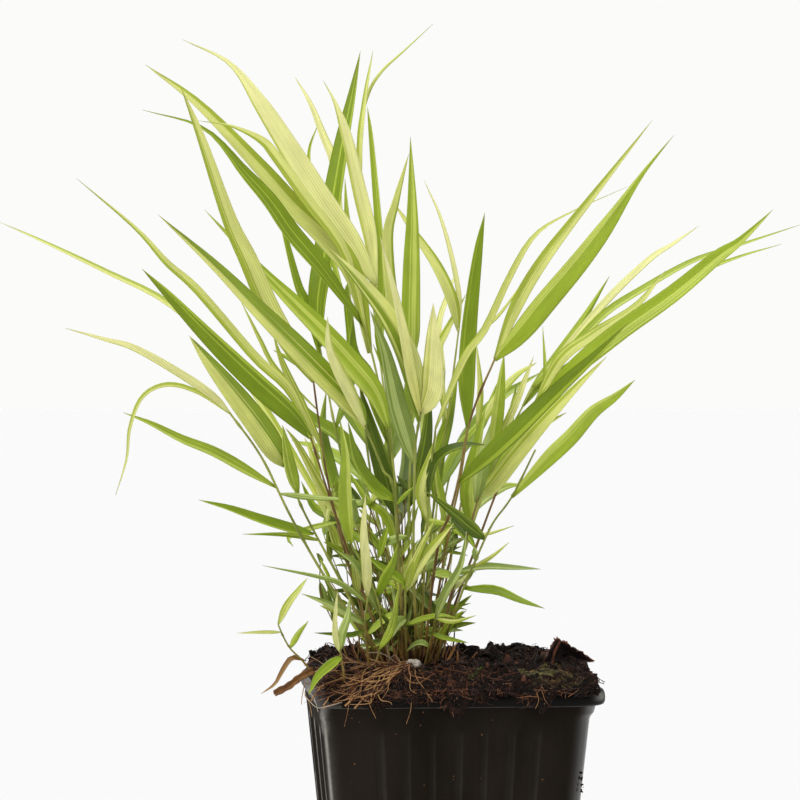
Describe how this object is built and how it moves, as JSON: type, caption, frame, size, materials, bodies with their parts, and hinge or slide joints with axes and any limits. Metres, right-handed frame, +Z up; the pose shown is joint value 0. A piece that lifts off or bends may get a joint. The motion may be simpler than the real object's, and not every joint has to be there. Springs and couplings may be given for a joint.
{
  "type": "potted japanese forest grass",
  "caption": "Young variegated forest grass in a small square black nursery pot, its arching leafy shoots fanning out over peat and loose surface roots.",
  "frame": {"origin": "centre of the pot's underside, on the surface that it stands on", "axes": "+Z up along the pot's middle, +X to the right and -Y out of the pot's front; the picture looks at the front from 5.5 degrees to the left"},
  "size_m": [0.2605, 0.2447, 0.3211],
  "materials": {
    "pot": "satin",
    "peat": "rough",
    "roots": "rough",
    "bark": "rough",
    "dry_leaf": "dry",
    "perlite": "rough",
    "leaf_cream": "satin",
    "leaf_lime": "satin",
    "leaf_green": "satin",
    "leaf_dark": "satin"
  },
  "bodies": {
    "root": {"pot": "pot", "peat": "peat", "root_mat": "roots", "bark_chip": "bark", "dry_leaf": "dry_leaf", "perlite": "perlite", "shoot_01": "leaf_lime", "shoot_02": "leaf_green", "shoot_03": "leaf_dark", "shoot_04": "leaf_lime", "shoot_05": "leaf_lime", "shoot_06": "leaf_lime", "shoot_07": "leaf_green", "shoot_08": "leaf_cream", "shoot_09": "leaf_dark", "shoot_10": "leaf_green", "shoot_11": "leaf_lime", "shoot_12": "leaf_lime", "shoot_13": "leaf_lime", "shoot_14": "leaf_green", "shoot_15": "leaf_green", "shoot_16": "leaf_dark", "shoot_17": "leaf_lime", "shoot_18": "leaf_lime", "shoot_19": "leaf_cream", "shoot_20": "leaf_green", "shoot_21": "leaf_green", "shoot_22": "leaf_green", "shoot_23": "leaf_green", "shoot_24": "leaf_dark", "shoot_25": "leaf_dark", "shoot_26": "leaf_green", "shoot_27": "leaf_lime", "shoot_28": "leaf_green", "shoot_29": "leaf_lime", "shoot_30": "leaf_green", "shoot_31": "leaf_green", "shoot_32": "leaf_dark", "shoot_33": "leaf_dark", "shoot_34": "leaf_dark", "shoot_35": "leaf_green", "shoot_36": "leaf_green", "shoot_37": "leaf_dark"}
  },
  "joints": []
}
